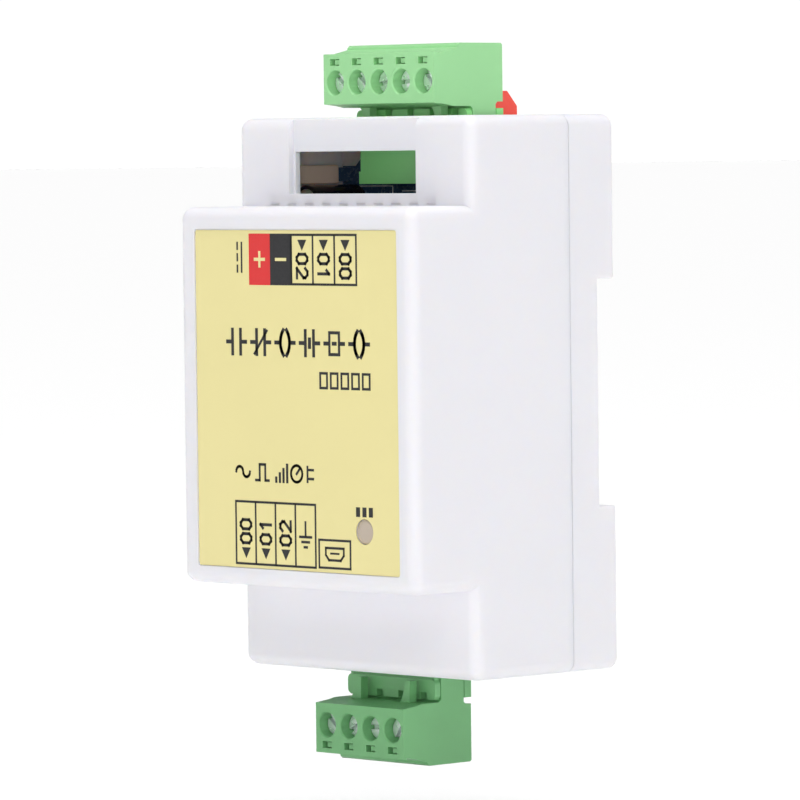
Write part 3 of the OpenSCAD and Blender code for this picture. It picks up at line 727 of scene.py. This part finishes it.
def light_pipe():
    """The frosted rod that shows in the label's round hole."""
    low, high = corners("light_pipe")
    steps = [(low.y, 0.0), (low.y + 0.01, 1.2), (low.y + 0.05, 1.75), (low.y + 0.15, 1.9),
             (low.y + 0.3, 1.95), (low.y + 6.4, 1.95), (high.y - 0.3, 1.6), (high.y, 1.5), (high.y, 0.0)]
    rod = lathe("light_pipe_rod", steps, LIGHT_X, LIGHT_Z)
    finish_piece(rod, "case", FROSTED, ["light_pipe"], 50)


# ------------------------------------------------------------------ terminal blocks

def block_frame(left, shoulder, upward):
    """Maps a block's own frame to the case: x from its left end, y from its face, z away from the case."""
    flip = Matrix.Scale(1 if upward else -1, 4, (0, 0, 1))
    return Matrix.Translation((left, PLUG_Y, shoulder)) @ flip


def plug(name, poles, left, shoulder, upward, body, node, material):
    width = poles * PITCH
    rear = PLUG_H + 1.4
    profile = [
        (0, 0), (2.7, -0.28), (4.2, UNDER_H), (NOSE_START - 0.5, UNDER_H), (NOSE_START, UNDER_H - 0.45),
        (NOSE_START, -NOSE_LEN), (NOSE_END, -NOSE_LEN), (NOSE_END, -0.3), (NOSE_END + 0.4, 0.1),
        (PLUG_D, 0.1), (PLUG_D, rear - 0.3), (PLUG_D - 0.3, rear), (5.75, rear), (5.3, rear - 0.35),
        (5.2, rear - 0.7), (0.85, PLUG_H - 0.25), (0.5, PLUG_H), (0, PLUG_H),
    ]
    block = prism(profile, 0, width, along_x, name)
    posts = bmesh.new()
    for x in (POST_INSET, width - POST_INSET):
        outline = [(x - 1.9, 0.2), (x - 1.9, 0), (x - 1.3, UNDER_H), (x - 0.9, UNDER_H - 0.42), (x + 0.1, -4),
                   (x + 1.0, -4), (x + 0.9, 0.2)]
        add_prism(posts, outline, POST_START, POST_END, along_y)
    boolean(block, [link("posts", posts)], "UNION")
    holes = bmesh.new()
    chambers = bmesh.new()
    entries = bmesh.new()
    slots = bmesh.new()
    steps = bmesh.new()
    windows = bmesh.new()
    frames = bmesh.new()
    rims = bmesh.new()
    for i in range(poles):
        x = (i + 0.5) * PITCH
        z = SCREW_H + PROBE_RISE
        add_prism(holes, circle(x, SCREW_H, HOLE_R), -1, 3.4, along_y)
        cone(rims, x, SCREW_H, HOLE_R + 0.25, HOLE_R - 0.02, -0.05, 0.2)
        add_box(chambers, (x - CHAMBER_HALF_W, 3.25, 0.8), (x + CHAMBER_HALF_W, 12.25, 6.1))
        add_box(entries, (x - ENTRY_HALF_W, 8.75, 6.0), (x + ENTRY_HALF_W, 11.2, PLUG_H + 3))
        add_box(slots, (x - PIN_SLOT_HALF_W, NOSE_START + 1, -NOSE_LEN - CUT),
                (x + PIN_SLOT_HALF_W, PIN_SLOT_END, 0.9))
        add_box(steps, (x - PIN_SLOT_HALF_W, 7.95, -0.1), (x + PIN_SLOT_HALF_W, PIN_SLOT_END, 0.9))
        add_box(frames, (x - 1.05, -1, z - 0.55), (x + 1.1, 0.4, z + 0.55))
        add_box(windows, (x - 1.05, -1, z - PROBE_HALF_H), (x - 0.3, 1.7, z + PROBE_HALF_H))
        add_box(windows, (x - 0.2, 0.2, z + 0.38), (x + 1.09, 1.2, z + PROBE_HALF_H))
        add_box(windows, (x - 0.2, 0.2, z - PROBE_HALF_H), (x + 1.09, 1.2, z - 0.38))
    # the chambers go first: cut after the round holes, the first one is lost
    boolean(block, [link("chambers", chambers), link("rims", rims), link("holes", holes),
                    link("entries", entries), link("slots", slots), link("steps", steps),
                    link("frames", frames), link("windows", windows)])
    soften(block, 0.17, 3, 30)
    finish_piece(block, body, material, [node], offset=block_frame(left, shoulder, upward))


def header(name, poles, left, shoulder, upward, node, material):
    width = poles * PITCH
    inner = HEADER_RIM - HEADER_LEN
    back = BOARD_Y - PLUG_Y
    shell = box((0, 7.5, inner), (width, back, inner + 2), name)
    boolean(shell, [box((0.4, 7.5, inner + 0.5), (width - 0.4, 8.35, HEADER_RIM))], "UNION")
    boolean(shell, [box((0, HEADER_BACK, inner + 0.5), (width, back, HEADER_RIM))], "UNION")
    lip = prism(rounded_rectangle(0, HEADER_RIM - 3.3, width, HEADER_RIM, 0.9), HEADER_LIP, 8.3, along_y)
    boolean(shell, [lip], "UNION")
    notches = bmesh.new()
    bores = bmesh.new()
    for i in range(poles):
        x = (i + 0.5) * PITCH
        notch = [(x - 0.9, HEADER_RIM - NOTCH_DEPTH), (x + 0.55, HEADER_RIM - NOTCH_DEPTH),
                 (x + 1.1, HEADER_RIM + CUT), (x - 0.9, HEADER_RIM + CUT)]
        add_prism(notches, notch, 5, 9.2, along_y)
        add_box(bores, (x - PIN_HALF_W, 10.5, inner + 0.5), (x + PIN_HALF_W, 11.5, inner + 3))
        add_box(bores, (x - PIN_HALF_W, 10.5, inner + 0.5), (x + PIN_HALF_W, back + CUT, inner + 1.5))
    boolean(shell, [link("notches", notches), link("bores", bores)])
    soften(shell, 0.14, 2, 40)
    finish_piece(shell, "case", material, [node], offset=block_frame(left, shoulder, upward))


# ------------------------------------------------------------------ parts behind the window

def lathe(name, steps, x, z, count=48):
    """A turned piece along the depth: steps are (depth, radius)."""
    bm = bmesh.new()
    rings = []
    for y, r in steps:
        points = circle(x, z, r, count) if r else [(x, z)]
        rings.append([bm.verts.new((u, y, v)) for u, v in points])
    for a, b in zip(rings, rings[1:]):
        for i in range(count):
            j = (i + 1) % count
            if len(a) == 1:
                bm.faces.new((a[0], b[i], b[j]))
            elif len(b) == 1:
                bm.faces.new((a[i], b[0], a[j]))
            else:
                bm.faces.new((a[i], b[i], b[j], a[j]))
    return link(name, bm)


def capacitors():
    """A sleeved can whose bare metal end faces the window, and a boxed capacitor on a dark blue foot."""
    low, high = corners("electrolytic_capacitor")
    x, z, r = (low.x + high.x) / 2, (low.z + high.z) / 2, (high.x - low.x) / 2
    sleeve = [(high.y, 0.0), (high.y, 2.9), (high.y - 0.2, r), (high.y - 1.2, r), (high.y - 1.5, 2.95),
              (high.y - 1.8, 2.95), (high.y - 2.1, r), (low.y + 0.35, r), (low.y + 0.1, r - 0.15),
              (low.y + 0.02, r - 0.4), (low.y + 0.05, r - 0.55), (low.y + 0.3, r - 0.6), (low.y + 0.3, 0.0)]
    finish_piece(lathe("electrolytic_sleeve", sleeve, x, z), "case", SLEEVE_BLACK,
                 ["electrolytic_capacitor"])
    end = [(low.y + 0.28, 0.0), (low.y + 0.24, r - 0.75), (low.y + 0.3, r - 0.6), (low.y + 1.0, r - 0.6),
           (low.y + 1.0, 0.0)]
    finish_piece(lathe("electrolytic_can_end", end, x, z), "case", TIN)
    low, high = corners("film_capacitor")
    body = box(low, (high.x, high.y - 3.2, high.z), "film_capacitor_box")
    finish_piece(soften(body, 0.3, 4), "case", CAP_BEIGE, ["film_capacitor"])
    foot = box((low.x + 0.2, high.y - 3.25, low.z + 0.35), (high.x - 0.4, high.y, high.z - 0.4),
               "film_capacitor_foot")
    finish_piece(soften(foot, 0.1), "case", BOARD_NAVY)


def board_print():
    """Plain white component outlines printed on the board behind the window."""
    bm = bmesh.new()
    y0, y1 = BOARD_Y - 0.03, BOARD_Y + 0.01
    line = 0.18
    for x0, z0, x1, z1 in ((-23.6, 32.9, -12.8, 32.9), (-12.8, 27.5, -12.8, 32.9),
                           (-10.55, 32.1, -7.2, 32.1)):
        add_box(bm, (x0 - line / 2, y0, z0 - line / 2), (x1 + line / 2, y1, z1 + line / 2))
    for x in (-20.4, -19.3):
        outline = [(x - line / 2, 35.0), (x + line / 2, 35.0), (x + line / 2 + 0.9, 33.8),
                   (x - line / 2 + 0.9, 33.8)]
        add_prism(bm, outline, y0, y1, along_y)
    for i in range(4):
        x = -4.5 + i * 6.6
        for z in (30.9, 28.2):
            add_box(bm, (x, y0, z - line / 2), (x + 4.2, y1, z + line / 2))
    finish_piece(link("board_print", bm), "case", SILK_WHITE)


# ------------------------------------------------------------------ CAD nodes that stay

def keep(node, material, width=0.06, segments=2):
    """A CAD node keeps its shape: its edges are broken and it takes a real material."""
    obj = NODES[node]
    obj.data.shade_smooth()
    weld = obj.modifiers.new("weld", "WELD")
    weld.merge_threshold = 0.000002
    bevel = obj.modifiers.new("broken edges", "BEVEL")
    bevel.width = width * MM
    bevel.segments = segments
    bevel.limit_method = "ANGLE"
    bevel.angle_limit = math.radians(40)
    weighted = obj.modifiers.new("weighted normals", "WEIGHTED_NORMAL")
    weighted.keep_sharp = True
    obj.data.materials.clear()
    obj.data.materials.append(material)


def kept_nodes():
    for node in ("microcontroller", "optocouplers", "output_transistors", "voltage_regulator"):
        keep(node, CHIP_BLACK)
    keep("main_board", BOARD_NAVY)
    keep("inductor", CHIP_BLACK, 0.15)
    keep("chip_passives", CAP_BEIGE, 0.1)
    keep("error_led", FROSTED, 0.1)
    keep("crystal", TIN, 0.3)
    keep("board_screws", ZINC)
    keep("usb_shell", ZINC)
    keep("usb_tongue", CHIP_BLACK)
    for side, poles in (("top", TOP_POLES), ("bottom", BOTTOM_POLES)):
        keep(side + "_header_pins", TIN, 0.1)
        keep(side + "_plug_contacts", TIN)
        for i in range(1, poles + 1):
            keep(f"{side}_screw_{i}", ZINC, 0.12)
            keep(f"{side}_clamp_{i}", ZINC, 0.12)


# ------------------------------------------------------------------ studio

# brightness of the room by the sine of the height above the horizon, in units of SKY_STRENGTH
SKY = ((0.0, 0.26), (0.1, 0.26), (0.15, 0.04), (0.84, 0.04), (0.93, 1.0))
SKY_STRENGTH = 4.0
FLOOR_GAP = 12.0
FLOOR_HALF_W = 60000
LIGHT_AIM = Vector((0, -0.02, 0))


def studio():
    """A white room: light by height, a pale floor below the object, and two soft lamps at the front right."""
    world = bpy.data.worlds.new("studio")
    bpy.context.scene.world = world
    world.use_nodes = True
    nodes, links = world.node_tree.nodes, world.node_tree.links
    place = nodes.new("ShaderNodeTexCoord")
    split = nodes.new("ShaderNodeSeparateXYZ")
    links.new(place.outputs["Generated"], split.inputs["Vector"])
    glow = nodes.new("ShaderNodeValToRGB")
    glow.color_ramp.interpolation = "EASE"
    stops = glow.color_ramp.elements
    while len(stops) < len(SKY):
        stops.new(0.5)
    for stop, (height, level) in zip(stops, SKY):
        stop.position = height
        stop.color = (level, level, level, 1)
    links.new(split.outputs["Z"], glow.inputs["Fac"])
    links.new(glow.outputs["Color"], nodes["Background"].inputs["Color"])
    nodes["Background"].inputs["Strength"].default_value = SKY_STRENGTH
    bm = bmesh.new()
    far = FLOOR_HALF_W
    bm.faces.new([bm.verts.new((x, y, bottom_low.z - FLOOR_GAP))
                  for x, y in ((-far, -far), (far, -far), (far, far), (-far, far))])
    floor = link("floor", bm)
    floor.data.transform(Matrix.Scale(MM, 4))
    paper, nodes, links = new_material("floor_paper")
    shader = nodes["Principled BSDF"]
    shader.inputs["Roughness"].default_value = 0.9
    shader.inputs["Specular IOR Level"].default_value = 0.0
    shader.inputs["Base Color"].default_value = (0.97, 0.97, 0.97, 1)
    floor.data.materials.append(paper)
    for name, place, size_m, power in (
        ("key", (1.08, -1.03, 1.15), 0.8, 7.3),
        ("fill", (1.25, -1.2, 0.17), 0.5, 3.5),
    ):
        light = bpy.data.lights.new(name, "AREA")
        light.shape = "SQUARE"
        light.size = size_m
        light.energy = power
        lamp = bpy.data.objects.new(name, light)
        bpy.context.scene.collection.objects.link(lamp)
        aim = LIGHT_AIM - Vector(place)
        lamp.matrix_world = Matrix.Translation(place) @ aim.to_track_quat("-Z", "Y").to_matrix().to_4x4()
    view = bpy.context.scene.view_settings
    view.view_transform = "Standard"
    view.look = "None"


# ------------------------------------------------------------------ make everything

make_camera()
front_cover()
rear_base()
din_latch()
label_overlay()
label_print()
light_pipe()
plug("top_plug_housing", TOP_POLES, TOP_LEFT, TOP_SHOULDER, True, "top_plug", "top_plug_body", PLUG_GREEN)
plug("bottom_plug_housing", BOTTOM_POLES, BOTTOM_LEFT, BOTTOM_SHOULDER, False, "bottom_plug",
     "bottom_plug_body", PAINTED_SHADE_GREEN)
header("top_header_housing", TOP_POLES, TOP_LEFT, TOP_SHOULDER, True, "top_header_shell", PAINTED_LIGHT_HEADER_GREEN)
header("bottom_header_housing", BOTTOM_POLES, BOTTOM_LEFT, BOTTOM_SHOULDER, False, "bottom_header_shell",
       PAINTED_SHADE_GREEN)
capacitors()
board_print()
kept_nodes()
studio()
